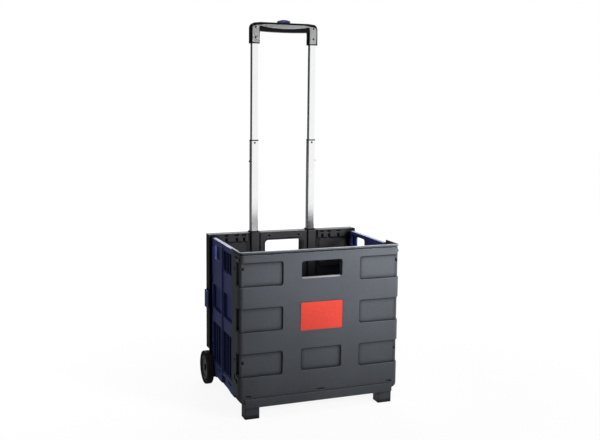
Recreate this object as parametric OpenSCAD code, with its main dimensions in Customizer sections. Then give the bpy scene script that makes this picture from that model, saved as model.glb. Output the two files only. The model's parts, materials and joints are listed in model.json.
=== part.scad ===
// Folding shopping trolley on wheels: an open crate whose sides fold inwards, on two wheels
// and two front feet, with a three-stage telescopic pull handle.
// X runs across the crate, -Y is the front, +Z is up. The origin is on the ground, in the
// middle of the floor area.

/* [Crate] */
// Width over the rim of the front tray
crate_w = 410; // [360:1:460]
// Height of the rim above the ground
rim_z = 402; // [392:1:440]
// Height of the lower edge of the front and back panels
panel_z = 27.5; // [24:0.5:31]
// Wall of the moulded trays
wall = 3; // [2.5:0.25:3.5]
// Depth of the front tray's side flanges
flange_d = 70; // [60:1:76]
// How far the bands between the recesses stand proud of the flanges
lug_proud = 3.5; // [2:0.5:5]
// How far the rim and the base moulding stand proud of the front
proud = 1.5; // [1:0.25:2.5]
// Top of the base moulding above the ground
plinth_z = 49; // [45:1:53]
// Radius of the front tray's upright corners
corner_r = 10; // [7:0.5:12]
// Depth of the windows in the side flanges, front to back
flange_window = 24; // [16:0.5:27]

/* [Recess pattern] */
// Height of one recess
row_h = 58; // [50:1:64]
// Spacing of the recess rows
row_pitch = 108.5; // [100:0.5:110]
// Middle of the top row above the ground
row_top_z = 348; // [340:1:350]
// Depth of the recesses
recess_d = 3.5; // [2:0.25:4]
// Half the width of the plain middle of the front
mid_half = 99; // [92:1:104]
// Half the width of the hand hole, the label and the middle recess
centre_half = 52.5; // [46:0.5:58]
// Height of the hand hole
hand_h = 42; // [34:1:44]
// Width of the label
label_w = 108; // [90:1:112]
// Height of the label
label_h = 68; // [56:1:70]
// Thickness of the label plate
label_t = 1.6; // [1.2:0.1:2]

/* [Feet] */
// Distance from the side of the front tray to the outer face of a foot
foot_side = 12.5; // [10:0.5:20]
// Width of a foot
foot_w = 36.5; // [30:0.5:38]
// Depth of a foot, front to back
foot_d = 31; // [26:1:34]

/* [Folding sides] */
// Distance between the hinge axes at the two ends of a side half
half_len = 105; // [94:1:112]
// Distance from the tray's face to the front hinge axis
hinge_in = 58; // [56:1:60]
// Thickness of a side half
side_t = 10; // [9:0.5:10.5]
// Height of the lower edge of the sides
side_z = 36; // [34.5:0.5:40]
// Depth of the recesses in the side halves
side_recess = 7; // [4:0.5:7]
// How far the sides end below the rim
side_drop = 6; // [3:0.5:8]
// Diameter of the corner hinge pins
pin_d = 4; // [3:0.25:4.5]
// Diameter of the middle hinge pins
mid_pin_d = 2.6; // [2:0.1:3]
// Highest folding angle of a side half
fold_max = 84; // [60:1:84]

/* [Floor] */
// Thickness of the floor panel
floor_t = 10; // [8:0.5:10]
// Skin of the floor panel
floor_skin = 2.5; // [2:0.25:3]
// Diameter of the floor's hinge rod
rod_d = 3.5; // [3:0.25:4]
// Spacing of the knuckles along the floor's hinge
lug_pitch = 45; // [40:1:52]
// Width of a knuckle of the floor's hinge
floor_lug_w = 28; // [20:1:30]
// Width of the finger hole in the floor
finger_w = 70; // [60:1:90]
// Depth of the finger hole, front to back
finger_d = 24; // [20:1:28]
// Size of the ledges under the rear corners of the floor
rest_d = 28; // [20:1:32]

/* [Back panel] */
// How far the back panel reaches past the front tray on each side
back_over = 3; // [2:0.5:4]
// Depth from the inside of the back panel to the back of its handle block
block_d = 25; // [24:0.5:28]
// Depth of the back panel beside the handle block
back_d = 24; // [18:0.5:24]
// Width of the window in the back panel
window_w = 106; // [96:1:108]
// Height of the window in the back panel
window_h = 42; // [34:1:44]
// Distance of the window below the rim
window_drop = 22; // [21:0.5:26]
// How far the columns round the tubes bulge into the crate
column_proud = 5; // [3.5:0.25:5.5]
// Height of the lower end of those columns
column_z = 262; // [240:1:300]

/* [Handle] */
// Distance between the tubes, middle to middle
tube_gap = 161.2; // [158:0.2:164]
// Width of the fixed outer tubes
outer_w = 24; // [23.5:0.25:25]
// Depth of the fixed outer tubes
outer_d = 19; // [18.5:0.25:19.5]
// Wall of the tubes
tube_t = 1.2; // [1:0.05:1.3]
// Play between one tube and the next, on each side
tube_play = 0.3; // [0.25:0.05:0.4]
// Visible length of the middle tubes when drawn out
mid_out = 243; // [200:1:250]
// Visible length of the inner tubes when drawn out
inner_out = 250; // [200:1:256]
// Height of the grip's legs below its underside
grip_leg = 32.5; // [26:0.5:40]
// Thickness of the grip, front to back
grip_t = 22; // [20:0.5:24]
// Width of a grip leg
grip_leg_w = 24; // [23:0.5:27]
// Height of the grip bar in the middle
grip_bar = 25.5; // [22:0.5:28]
// Width of the release button
button_w = 34.4; // [28:0.2:40]
// How far the release button stands out
button_up = 5; // [4:0.5:7]
// Travel of the release button
button_travel = 4; // [2:0.5:4]

/* [Wheels] */
// Outer radius of the tyres
wheel_r = 44; // [40:0.5:46]
// Width of a wheel
wheel_w = 17.5; // [15:0.5:19]
// Radius of the plastic hub
hub_r = 31; // [26:0.5:34]
// Diameter of the wheel axles
axle_d = 8; // [6:0.5:9]
// Distance of the axles behind the rear hinge axis
axle_back = 15.3; // [13:0.1:18]

/* [Latches] */
// Height of a side latch
latch_h = 46; // [36:1:52]
// Length of a side latch
latch_l = 34; // [26:1:36]
// Thickness of a side latch
latch_t = 3; // [2.5:0.25:3.5]
// Height of the middle of the latches above the ground
latch_z = 230; // [200:1:260]

/* [Clearances] */
// Play of a hinge pin in its bore, on the radius
pin_play = 0.1; // [0.05:0.01:0.1]
// Gap between knuckles and between pieces that pass each other
gap = 0.6; // [0.4:0.1:0.8]

/* [Hidden] */
$fn = 48;

eps = 0.01;
// places along Y, from the front to the back
depth = proud + hinge_in + 2*half_len + axle_back + wheel_r;
tray_y = proud - depth/2;
front_y = tray_y + hinge_in;
mid_y = front_y + half_len;
rear_y = mid_y + half_len;
web_y = rear_y + 10;
back_y = web_y + back_d;
block_y = web_y + block_d;
tube_y = web_y + block_d/2;
axle_y = rear_y + axle_back;
// places along X
tray_x = crate_w/2;
tray_in_x = tray_x - 2.5;
foot_in = tray_x - foot_side - foot_w;
shelf_half = foot_in + 20;
hinge_x = tray_in_x - 1 - side_t/2;
side_out_x = hinge_x + side_t/2;
side_in_x = hinge_x - side_t/2;
back_x = tray_x + back_over;
tube_x = tube_gap/2;
wheel_x = side_out_x + 1.5;
// the hinges
flange_low = 2*wheel_r + 8;
knuckle_r = side_t/2 - 0.5;
mid_knuckle_r = mid_pin_d/2 + 2.3;
side_top = rim_z - side_drop;
notch_z = side_z + 23;
sweep_r = knuckle_r + 1.5;
// the floor
floor_y = tray_y + 46;
floor_axis_z = panel_z + 0.5;
floor_top = floor_axis_z + floor_t/2;
floor_low = floor_axis_z - floor_t/2;
floor_end = web_y - 2;
floor_half = side_in_x - 2.5;
rest_z = floor_low - 0.3;
// the rows of recesses, from the top
rows = [for (i = [0:2]) row_top_z - i*row_pitch];
bands = [for (i = [0:1]) (rows[i] + rows[i+1])/2];
band_h = row_pitch - row_h;
side_rows = [[rows[0] - 18, rows[0] + 34], [rows[1] - 27.5, rows[1] + 37.5],
    [rows[2] - 61, rows[2] + 47]];
lug_low = plinth_z + 5;
low_band_top = rows[2] - row_h/2;
// the handle
mid_w = outer_w - 2*tube_t - 2*tube_play;
mid_d = outer_d - 2*tube_t - 2*tube_play;
inner_w = mid_w - 2*tube_t - 2*tube_play;
inner_d = mid_d - 2*tube_t - 2*tube_play;
collar_h = 3;
tube_low = 52;
mid_top = rim_z + mid_out;
mid_travel = mid_out - collar_h - 1;
mid_low = tube_low + mid_travel + 2;
grip_z = mid_top + collar_h + inner_out;
inner_travel = inner_out - 1;
inner_low = mid_low + inner_travel + 2;
grip_under = grip_z + grip_leg;
grip_top = grip_under + grip_bar;
grip_half = tube_x + grip_leg_w/2;
grip_front_y = tube_y - grip_t/2;
lock_z = mid_top - 54;
lock_d = 4.4;
lock_tip = mid_w/2 + 3;
rivet_d = 5;
rivet_drop = 5;
// the wheels
wheel_out = wheel_x + wheel_w;
dish = 3;

// rounded rectangle centred on the origin, with true arcs
module rrect(w, h, r) {
    square([w - 2*r, h], center = true);
    square([w, h - 2*r], center = true);
    for (x = [-1, 1], y = [-1, 1])
        translate([x*(w/2 - r), y*(h/2 - r)]) circle(r);
}

// draws an X-Z outline as a plate between two places along Y
module plate_y(y0, y1) {
    translate([0, y1, 0]) rotate([90, 0, 0]) linear_extrude(y1 - y0) children();
}

// draws a Y-Z outline as a plate between two places along X
module plate_x(x0, x1) {
    translate([x0, 0, 0]) rotate([90, 0, 90]) linear_extrude(x1 - x0) children();
}

// the piece and its mirror image across the crate
module both() {
    children();
    mirror([1, 0, 0]) children();
}

// box between two corners
module box(a, b) {
    translate(a) cube(b - a);
}

// the corner hinges have short fixed knuckles and, between them, the side half's long ones
knuckles = 7;
short_knuckle = 18;
long_share = 2/(knuckles - 1);
function long_knuckle(z0) = (side_top - 6 - z0 - (knuckles + 1)/2*short_knuckle)*long_share;
function corner_z(z0, i) = z0 + ceil(i/2)*short_knuckle + floor(i/2)*long_knuckle(z0);
function corner_low(z0, i) = corner_z(z0, i) + gap/2;
function corner_high(z0, i) = corner_z(z0, i + 1) - gap/2;

// lowest and highest point of knuckle i of n on a middle hinge, all of one length
function knuckle_low(z0, z1, n, i) = z0 + i*(z1 - z0)/n + gap/2;
function knuckle_high(z0, z1, n, i) = z0 + (i + 1)*(z1 - z0)/n - gap/2;

// ---------------------------------------------------------------- front tray

// outline of the tray seen from above, with its side flanges at half width w
module tray_outline(w, front_t, side_wall) {
    difference() {
        union() {
            translate([0, tray_y + flange_d/2]) rrect(2*w, flange_d, corner_r);
            translate([-w, tray_y + flange_d/2]) square([2*w, flange_d/2]);
        }
        translate([side_wall - w, tray_y + front_t])
            square([2*(w - side_wall), flange_d]);
    }
}

// side flange below the lowest recess: its rear end is swept forward and inward
module flange_foot_cut() {
    r = 30;
    y_end = tray_y + flange_d;
    for (s = [-1, 1]) {
        // sweep of the lower rear corner
        plate_x(s > 0 ? tray_x - 12 : -tray_x - 12, s > 0 ? tray_x + 12 : 12 - tray_x)
            difference() {
                translate([y_end - r, panel_z - 1]) square([r + 1, lug_low + r - panel_z + 1]);
                translate([y_end - r, lug_low + r]) circle(r);
            }
    }
    // nothing of the flange reaches below the lugs behind the foot
    for (s = [-1, 1])
        box([s > 0 ? foot_in + foot_w : -tray_x - 12, tray_y + wall + recess_d, panel_z - 1],
            [s > 0 ? tray_x + 12 : -foot_in - foot_w, y_end + 1, lug_low]);
}

// the step from the tray's side in to the foot, curved as seen from the front
module shoulder_cut() {
    r = tray_x + lug_proud - foot_in - foot_w;
    both() plate_y(tray_y - proud - 1, tray_y + flange_d)
        difference() {
            translate([foot_in + foot_w, panel_z - 30]) square([r + 1, lug_low - panel_z + 30]);
            translate([foot_in + foot_w, lug_low]) circle(r);
        }
}

module foot() {
    difference() {
        translate([foot_in, tray_y, 0]) linear_extrude(floor_top)
            translate([foot_w/2, foot_d/2]) rrect(foot_w, foot_d, 3);
        box([foot_in + wall, tray_y + wall, wall],
            [foot_in + foot_w - wall, tray_y + foot_d + 1, panel_z]);
    }
}

module front_recess(x0, x1, z, h, r) {
    plate_y(tray_y - 5, tray_y + recess_d)
        translate([(x0 + x1)/2, z]) rrect(x1 - x0, h, r);
}

module front_tray() {
    core = recess_d + wall;
    r = 6;
    color("#4a4d52") difference() {
        union() {
            // panel and side flanges
            translate([0, 0, panel_z]) linear_extrude(rim_z - panel_z)
                tray_outline(tray_x, core, tray_x - tray_in_x);
            // bands that wrap the corners
            for (z = bands)
                translate([0, 0, z - band_h/2]) linear_extrude(band_h) lug_outline();
            translate([0, 0, lug_low - 12]) linear_extrude(low_band_top - lug_low + 12) lug_outline();
            // thin lip round the rim
            translate([0, 0, rim_z - 4]) linear_extrude(4) difference() {
                union() {
                    translate([0, tray_y + (flange_d - proud)/2])
                        rrect(2*tray_x + 2, flange_d + proud, corner_r);
                    translate([-tray_x - 1, tray_y + flange_d/2]) square([2*tray_x + 2, flange_d/2]);
                }
                translate([-tray_in_x, tray_y + core]) square([2*tray_in_x, flange_d]);
            }
            // base moulding and feet
            plate_y(tray_y - proud, tray_y + core)
                translate([0, (panel_z + plinth_z)/2])
                    square([2*(foot_in + foot_w), plinth_z - panel_z], center = true);
            both() foot();
            // shelf that closes the bottom, in front of the floor
            box([-shelf_half, tray_y + core - eps, floor_top - 3],
                [shelf_half, floor_y - 6, floor_top]);
            both() box([shelf_half - eps, tray_y + core - eps, floor_top - 3],
                [foot_in + foot_w, tray_y + foot_d, floor_top]);
            // floor knuckles on the shelf
            for (x = floor_lugs) floor_knuckle(x, true);
            // hinge knuckles for the side halves
            both() corner_knuckles();
            // collar round the hand hole
            plate_y(tray_y + core - eps, tray_y + 16)
                translate([0, rows[0] + 5]) rrect(2*centre_half + 2*wall, hand_h + 2*wall, r + wall);
            // snap bosses under the rim
            both() translate([tray_x - 3, tray_y + 11, rim_z - 17.5])
                rotate([0, 90, 0]) cylinder(h = 5, r = 4);
        }
        // hollow backs of the bands and of the middle
        tray_back_pockets(core);
        // recesses at both sides, open to the corners
        for (z = rows) both() front_recess(mid_half, tray_x + 20, z, row_h, r);
        // middle recess and label pocket
        front_recess(-centre_half, centre_half, rows[2] + 2.5, 55, r);
        plate_y(tray_y - 5, tray_y + label_t - 0.6)
            translate([0, rows[1] - 0.5]) rrect(label_w + 0.6, label_h + 0.6, 2.3);
        // groove under the rim
        rim_groove();
        // hand hole
        plate_y(tray_y - 5, tray_y + 20)
            translate([0, rows[0] + 5]) rrect(2*centre_half, hand_h, r);
        // three blind slots above the base moulding
        for (s = [[-foot_in - 28, 14], [0, 21], [foot_in + 28, 14]])
            plate_y(tray_y - 5, tray_y + core - 1.5)
                translate([s[0], plinth_z + 6.5]) rrect(s[1], 4, 1.9);
        shoulder_cut();
        flange_foot_cut();
        both() side_details();
        // bores for the hinge pins and the floor's rod
        both() translate([hinge_x, front_y, side_z])
            cylinder(h = side_top - side_z - 3, d = pin_d + 2*pin_play);
        translate([-floor_rod_half, floor_y, floor_axis_z]) rotate([0, 90, 0])
            cylinder(h = 2*floor_rod_half, d = rod_d + 2*pin_play);
    }
    // corner posts that show in the recesses
    color("#4a4d52") both() corner_posts();
}

module rim_groove() {
    translate([0, 0, rim_z - 7.5]) linear_extrude(3) difference() {
        translate([-tray_x - 5, tray_y - 5]) square([2*tray_x + 10, flange_d + 10]);
        translate([0, tray_y + flange_d]) rrect(2*tray_x - 2.4, 2*flange_d - 2.4, corner_r - 1.2);
    }
}

// outline of a band seen from above: proud of the flange, and shorter than it
module lug_outline() {
    w = tray_x + lug_proud;
    d = 38;
    difference() {
        union() {
            translate([0, tray_y + d/2]) rrect(2*w, d, corner_r + 2);
        }
        translate([-tray_in_x, tray_y + recess_d + wall]) square([2*tray_in_x, d]);
    }
}

module tray_back_pockets(core) {
    // the plain bands are hollow behind, so that the wall stays even
    x_in = mid_half - wall;
    for (z = concat([rim_z - 12], bands, [low_band_top - 24])) {
        h = z > rows[0] ? 18 : (z > rows[2] ? band_h - 2*wall : 34);
        plate_y(tray_y + wall, tray_y + core + 1)
            translate([0, z]) square([2*(tray_in_x - 6), h], center = true);
    }
    for (z = [rows[1]]) plate_y(tray_y + wall, tray_y + core + 1)
        translate([0, z]) square([2*x_in, row_h], center = true);
}

// windows, slots and square openings in the side flanges
module side_details() {
    core = recess_d + wall;
    // a window beside each recess, from the post to the edge of the bands
    for (z = rows)
        plate_x(tray_in_x - 1, tray_x + 5)
            translate([tray_y + core + 2 + flange_window/2, z]) rrect(flange_window, row_h - 3, 1.5);
    // slots under the rim and under the lowest recess
    plate_x(tray_in_x - 1, tray_x + 5) {
        translate([tray_y + 32, rim_z - 17.5]) rrect(28, 8, 3.5);
        translate([tray_y + 30, low_band_top - 12]) rrect(40, 11, 5);
    }
    for (z = [rows[0] + 8, rows[2] + 4, rows[2] - 34])
        box([tray_in_x - 1, tray_y + 43, z - 4.5], [tray_x + 6, tray_y + 49, z + 4.5]);
    for (z = [rows[0] + 14, rows[2] + 7])
        box([tray_x - 9.5, tray_y - 1, z - 4.5], [tray_x - 4, tray_y + 9, z + 4.5]);
}

module corner_posts() {
    r = 4.8;
    for (z = rows) difference() {
        translate([tray_x - r - 1, tray_y + recess_d + r - 1, z - row_h/2]) cylinder(h = row_h, r = r);
        box([tray_x - 20, tray_y + recess_d, z - row_h], [tray_in_x - 4, tray_y + 20, z + row_h]);
        box([tray_x - 20, tray_y + recess_d + 2, z - row_h], [tray_x + 2, tray_y + 20, z + row_h]);
        for (h = [rows[0] + 14, rows[2] + 7])
            box([tray_x - 9.5, tray_y - 1, h - 4.5], [tray_x - 4, tray_y + 12, h + 4.5]);
    }
}

module label_plate() {
    color("#e04a3c") plate_y(tray_y - 0.6, tray_y + label_t - 0.6)
        translate([0, rows[1] - 0.5]) rrect(label_w, label_h, 2);
}

// ---------------------------------------------------------------- folding sides

rear_z0 = 2*wheel_r + 10;
hinge_z0 = rear_z0 + 8;

// knuckles of the front hinge, on the tray
module corner_knuckles() {
    for (i = [0:2:knuckles - 1]) {
        a = corner_low(hinge_z0, i);
        b = corner_high(hinge_z0, i);
        translate([hinge_x, front_y, a]) cylinder(h = b - a, r = knuckle_r);
        box([hinge_x, front_y - knuckle_r, a], [tray_in_x + eps, front_y + knuckle_r, b]);
    }
}

// knuckles at the rear hinge, on the back panel
module rear_knuckles() {
    for (i = [0:2:knuckles - 1]) {
        a = corner_low(rear_z0, i);
        b = corner_high(rear_z0, i);
        translate([hinge_x, rear_y, a]) cylinder(h = b - a, r = knuckle_r);
        box([hinge_x, rear_y - knuckle_r, a], [back_x - wall + eps, rear_y + knuckle_r, b]);
        box([hinge_x, rear_y, a], [hinge_x + knuckle_r, web_y + eps, b]);
    }
}

// Y-Z outline of a side half from its middle hinge (0) towards its end, drawn along +Y
// the lower edge is cut away next to the middle, and may slope down from there
module half_outline(len, cut, slope) {
    rise = 5.5;
    difference() {
        translate([1, side_z]) square([len - 1, side_top - side_z]);
        translate([-1, side_z - 1]) square([cut + 1, notch_z - side_z + 1]);
        if (slope > 0) translate([cut, side_z])
            polygon([[-1, -1], [slope, -1], [slope, 0], [0, rise], [-1, rise]]);
    }
}

// recess in the outer face of a side half, parted by upright ribs into a number of cells
module side_recess_at(y0, y1, z0, z1, cells) {
    step = (y1 - y0)/cells;
    plate_x(side_t - 2.5, side_t + 1) translate([(y0 + y1)/2, (z0 + z1)/2])
        rrect(y1 - y0, z1 - z0, 5);
    for (k = [0:cells - 1]) plate_x(side_t - side_recess, side_t + 1)
        translate([y0 + (k + 0.5)*step, (z0 + z1)/2]) rrect(step - 2.4, z1 - z0 - 2.4, 3);
}

// one side half, lying along +Y from its middle hinge at y = 0, outer face at x = +side_t
// corner_z0 is where the corner hinge starts, mid_own says which middle knuckles it has
module side_half(corner_z0, cut, slope, window, slot, mid_own) {
    plate_end = half_len - sweep_r;
    z0 = notch_z + 6;
    z1 = side_top - 8;
    n = 5;
    y0 = 8;
    y1 = plate_end - 7;
    difference() {
        union() {
            plate_x(0, side_t) half_outline(plate_end, cut, slope);
            // corner knuckles
            for (i = [1:2:knuckles - 1]) {
                a = corner_low(corner_z0, i);
                b = corner_high(corner_z0, i);
                translate([side_t/2, half_len, a]) cylinder(h = b - a, r = knuckle_r);
                box([side_t/2 - knuckle_r + 1, plate_end - eps, a],
                    [side_t/2 + knuckle_r, half_len, b]);
            }
            // the front half fills the corner below the hinge
            if (!window) box([0, plate_end - eps, side_z], [side_t, half_len, corner_z0 - gap]);
            // middle knuckles
            for (i = [0:n - 1]) if ((i % 2 == 0) == mid_own) {
                a = knuckle_low(z0, z1, n, i);
                b = knuckle_high(z0, z1, n, i);
                translate([side_t, 0, a]) cylinder(h = b - a, r = mid_knuckle_r);
                box([side_t - mid_knuckle_r, 0, a], [side_t, 1 + eps, b]);
            }
        }
        // room for the other half's middle knuckles
        for (i = [0:n - 1]) if ((i % 2 == 0) != mid_own) {
            a = z0 + i*(z1 - z0)/n - gap/2;
            b = z0 + (i + 1)*(z1 - z0)/n + gap/2;
            translate([side_t, 0, a]) cylinder(h = b - a, r = mid_knuckle_r + gap);
        }
        // recesses on the outer face
        if (!window) side_recess_at(y0, y1, side_rows[0][0], side_rows[0][1], 4);
        side_recess_at(y0, y1, side_rows[1][0], side_rows[1][1], 1);
        side_recess_at(y0, y1, side_rows[2][0], side_rows[2][1], 4);
        // the bands between them are hollow behind
        for (i = [0, 1], k = [0, 1]) {
            low = side_rows[i + 1][1] + wall;
            high = side_rows[i][0] - wall;
            plate_x(-1, side_t - wall) translate([y0 + (y1 - y0)*(0.25 + 0.5*k), (low + high)/2])
                rrect((y1 - y0)/2 - 2, high - low, 3);
        }
        // hand hole: an opening in the outer skin, and a wide pocket behind it
        if (window) {
            plate_x(-1, side_t + 1) translate([50, rows[0] + 16]) rrect(50, 38, 6);
            plate_x(-1, side_t - wall) translate([(3 + y1)/2, rows[0] + 15]) rrect(y1 - 3, 46, 3);
        }
        // slot near the lower edge, in a thin wall
        plate_x(-1, side_t + 1) translate(slot) rrect(32, 5, 2.4);
        plate_x(-1, side_t - wall) translate(slot) rrect(38, 12, 2);
        // bores
        translate([side_t, 0, z0 - 1]) cylinder(h = z1 - z0 + 2, d = mid_pin_d + 2*pin_play);
        translate([side_t/2, half_len, corner_z0 - 1])
            cylinder(h = side_top - 6 - corner_z0 + 2, d = pin_d + 2*pin_play);
    }
}

module rear_half() {
    translate([side_in_x, mid_y, 0])
        side_half(rear_z0, 9, 0, true, [27, side_z + 25], true);
}

module front_half() {
    translate([side_in_x, mid_y, 0]) mirror([0, 1, 0])
        side_half(hinge_z0, 26, 50, false, [65, side_z + 21], false);
}

module right_rear_side() { color("#2b2f5c") rear_half(); }
module left_rear_side() { color("#2b2f5c") mirror([1, 0, 0]) rear_half(); }
module right_front_side() { color("#2b2f5c") front_half(); }
module left_front_side() { color("#2b2f5c") mirror([1, 0, 0]) front_half(); }

module rear_pin() {
    translate([hinge_x, rear_y, rear_z0 + 1]) cylinder(h = side_top - 8 - rear_z0, d = pin_d);
}
module front_pin() {
    translate([hinge_x, front_y, hinge_z0 + 1]) cylinder(h = side_top - 8 - hinge_z0, d = pin_d);
}
module mid_pin() {
    translate([side_out_x, mid_y, notch_z + 7]) cylinder(h = side_top - 10 - notch_z - 6, d = mid_pin_d);
}
module right_rear_pin() { color("silver") rear_pin(); }
module left_rear_pin() { color("silver") mirror([1, 0, 0]) rear_pin(); }
module right_front_pin() { color("silver") front_pin(); }
module left_front_pin() { color("silver") mirror([1, 0, 0]) front_pin(); }
module right_mid_pin() { color("silver") mid_pin(); }
module left_mid_pin() { color("silver") mirror([1, 0, 0]) mid_pin(); }

// ---------------------------------------------------------------- floor

floor_lugs = [for (i = [-3, 0, 3]) i*lug_pitch];
floor_rod_half = 3*lug_pitch + floor_lug_w/2 - 2;
floor_knuckle_r = floor_t/2;

// a knuckle of the floor's hinge: on the tray it hangs on the shelf, on the floor it is
// part of the front edge
module floor_knuckle(x, on_tray) {
    w = floor_lug_w;
    translate([x - w/2, floor_y, floor_axis_z]) rotate([0, 90, 0]) cylinder(h = w, r = floor_knuckle_r);
    if (on_tray) box([x - w/2, floor_y - 7, floor_axis_z], [x + w/2, floor_y, floor_top]);
}

module floor_panel() {
    rib = 2.5;
    nx = 6;
    ny = 4;
    cell_x = (2*floor_half - 2*rib)/nx;
    y0 = floor_y + floor_knuckle_r + gap;
    cell_y = (floor_end - y0 - 2*rib)/ny;
    color("#303236") difference() {
        union() {
            box([-floor_half, y0, floor_low], [floor_half, floor_end, floor_top]);
            for (i = [-2, -1, 1, 2]) {
                x = i*lug_pitch;
                floor_knuckle(x, false);
                box([x - floor_lug_w/2, floor_y, floor_low], [x + floor_lug_w/2, y0 + eps, floor_top]);
            }
        }
        // hollow underside with a grid of ribs
        for (i = [0:nx - 1], j = [0:ny - 1])
            box([-floor_half + rib + i*cell_x + rib/2, y0 + rib + j*cell_y + rib/2, floor_low - 1],
                [-floor_half + rib + (i + 1)*cell_x - rib/2, y0 + rib + (j + 1)*cell_y - rib/2,
                    floor_top - floor_skin]);
        // bore for the rod
        translate([-floor_rod_half, floor_y, floor_axis_z]) rotate([0, 90, 0])
            cylinder(h = 2*floor_rod_half, d = rod_d + 2*pin_play);
        // finger hole for lifting it
        translate([0, floor_end - 22 - finger_d/2, floor_low - 1]) linear_extrude(floor_t + 2)
            rrect(finger_w, finger_d, 10);
    }
}

module floor_rod() {
    color("silver") translate([-floor_rod_half + 1, floor_y, floor_axis_z]) rotate([0, 90, 0])
        cylinder(h = 2*floor_rod_half - 2, d = rod_d);
}

// ---------------------------------------------------------------- back panel

channel_t = 3;

module tube_outline(w, d) {
    rrect(w, d, 4.5);
}

module window_outline(grow) {
    translate([0, rim_z - window_drop - window_h/2]) rrect(window_w + 2*grow, window_h + 2*grow, 9 + grow);
}

// web, flanges and ribs of the back panel, cut short above the wheels
module back_frame(low) {
    difference() {
        union() {
            // inner web
            plate_y(web_y, web_y + wall)
                translate([0, (low + rim_z)/2]) square([2*back_x - 2, rim_z - low], center = true);
            // side flanges
            both() box([back_x - wall, rear_y + 2, low], [back_x, back_y, rim_z]);
            // ribs behind the web
            for (z = [low, flange_low, 178, 244, 310, rim_z - wall])
                box([-back_x, web_y, z], [back_x, back_y, z + wall]);
            both() for (x = [back_x, back_x - 48, back_x - 96])
                box([x - wall, web_y, low], [x, back_y, rim_z]);
        }
        both() box([side_in_x, rear_y - 20, low - 1], [back_x + 1, back_y + 1, flange_low]);
    }
}

// the raised middle, the columns, the pads and the rail on the inside of the back panel
module back_relief() {
    centre = 66;
    box([-centre, web_y - 3.5, column_z], [centre, web_y + eps, rim_z]);
    both() translate([tube_x, web_y, column_z]) linear_extrude(rim_z - column_z)
        rrect(outer_w, 2*column_proud, 3.4);
    both() plate_y(web_y - 1.5, web_y + eps) translate([back_x - 61, rows[0] - 10])
        rrect(86, 78, 8);
    both() box([tube_x + 19, web_y - 3, rim_z - 22], [back_x - wall, web_y + eps, rim_z]);
    both() box([back_x - 12, rear_y + 7.5, rim_z - 4], [back_x, back_y, rim_z]);
}

module back_panel() {
    low = floor_top + 5;
    ch_w = outer_w + 2*channel_t;
    hole_z = rim_z - 11.5;
    color("#2a2b2d") difference() {
        union() {
            back_frame(low);
            back_relief();
            for (x = [-40, 0, 40])
                box([x - wall/2, web_y, low], [x + wall/2, back_y, rim_z - window_drop - window_h - 6]);
            // channels that hold the outer tubes
            both() translate([tube_x, tube_y, low]) linear_extrude(rim_z - low)
                rrect(ch_w, block_d, 6);
            // handle block with the window
            plate_y(web_y, block_y) window_outline(7);
            box([-tube_x, web_y, rim_z - 14], [tube_x, block_y, rim_z]);
            // hinge knuckles
            both() rear_knuckles();
            // lugs of the latches
            both() latch_lugs();
        }
        // window right through, with a groove round its inner edge
        plate_y(web_y - 12, block_y + 1) window_outline(0);
        plate_y(web_y - 4, web_y - 2) difference() {
            window_outline(4.4);
            window_outline(2.6);
        }
        // the block is hollow from behind, above the window
        difference() {
            box([-56, web_y + wall, rim_z - 14], [56, block_y + 1, rim_z - 4]);
            both() translate([41.5, web_y, hole_z]) rotate([-90, 0, 0]) cylinder(h = 10, r = 6);
        }
        // two blind round holes above the window
        both() translate([41.5, web_y - 5, hole_z]) rotate([-90, 0, 0]) cylinder(h = 12, r = 3.4);
        // bores of the channels
        both() translate([tube_x, tube_y, tube_low - 1]) linear_extrude(rim_z)
            tube_outline(outer_w + 0.2, outer_d + 0.2);
        both() translate([tube_x, tube_y, low - 1]) cylinder(h = 30, r = 4);
        // keyway for the lock pins
        both() box([tube_x, tube_y - lock_d/2 - 0.8, lock_z - mid_travel - 6],
            [tube_x + lock_tip + 1, tube_y + lock_d/2 + 0.8, rim_z + 1]);
        // notches and pockets in the rail
        both() for (x = [back_x - 96, back_x - 76, back_x - 48]) {
            box([x - 3.5, web_y - 4, rim_z - 23], [x + 3.5, web_y + 1, rim_z - 12]);
            box([x - 6, web_y - 4, rim_z - 8], [x + 6, web_y, rim_z - 3]);
        }
        // bore for the hinge pins
        both() translate([hinge_x, rear_y, rear_z0 - 1])
            cylinder(h = side_top - 4 - rear_z0, d = pin_d + 2*pin_play);
        // latch pins
        both() translate([latch_x, latch_y, latch_z - latch_h/2 - 1])
            cylinder(h = latch_h + 2, d = latch_pin_d + 2*pin_play);
        // room for the heads of the axles
        both() translate([side_in_x - 12, axle_y, wheel_r]) rotate([0, 90, 0])
            cylinder(h = 13, d = axle_d + 6);
    }
}

// bracket under the corner of the back panel that carries an axle
module wheel_bracket() {
    x0 = side_in_x;
    x1 = wheel_x - 2;
    y0 = rear_y + 6;
    cheek_z = wheel_r - 4;
    difference() {
        union() {
            plate_x(x0, x1) {
                translate([y0, cheek_z]) square([back_y - y0, flange_low - cheek_z]);
                translate([y0, rest_z - 5]) square([20, cheek_z - rest_z + 6]);
                translate([axle_y, wheel_r]) circle(14);
            }
            // boss round the axle
            translate([x1 - eps, axle_y, wheel_r]) rotate([0, 90, 0])
                cylinder(h = wheel_x - x1 - 0.9 + eps, r = 9);
        }
        // hollow above the axle
        plate_x(x0 + wall, x1 + 1) translate([y0 + wall, wheel_r + 18])
            square([back_y - y0 - 2*wall, flange_low - wheel_r - 18 - wall]);
        translate([x0 - 1, axle_y, wheel_r]) rotate([0, 90, 0]) cylinder(h = 30, d = axle_d);
    }
}
module wheel_bracket_right() { color("#2a2b2d") wheel_bracket(); }
module wheel_bracket_left() { color("#2a2b2d") mirror([1, 0, 0]) wheel_bracket(); }

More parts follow.
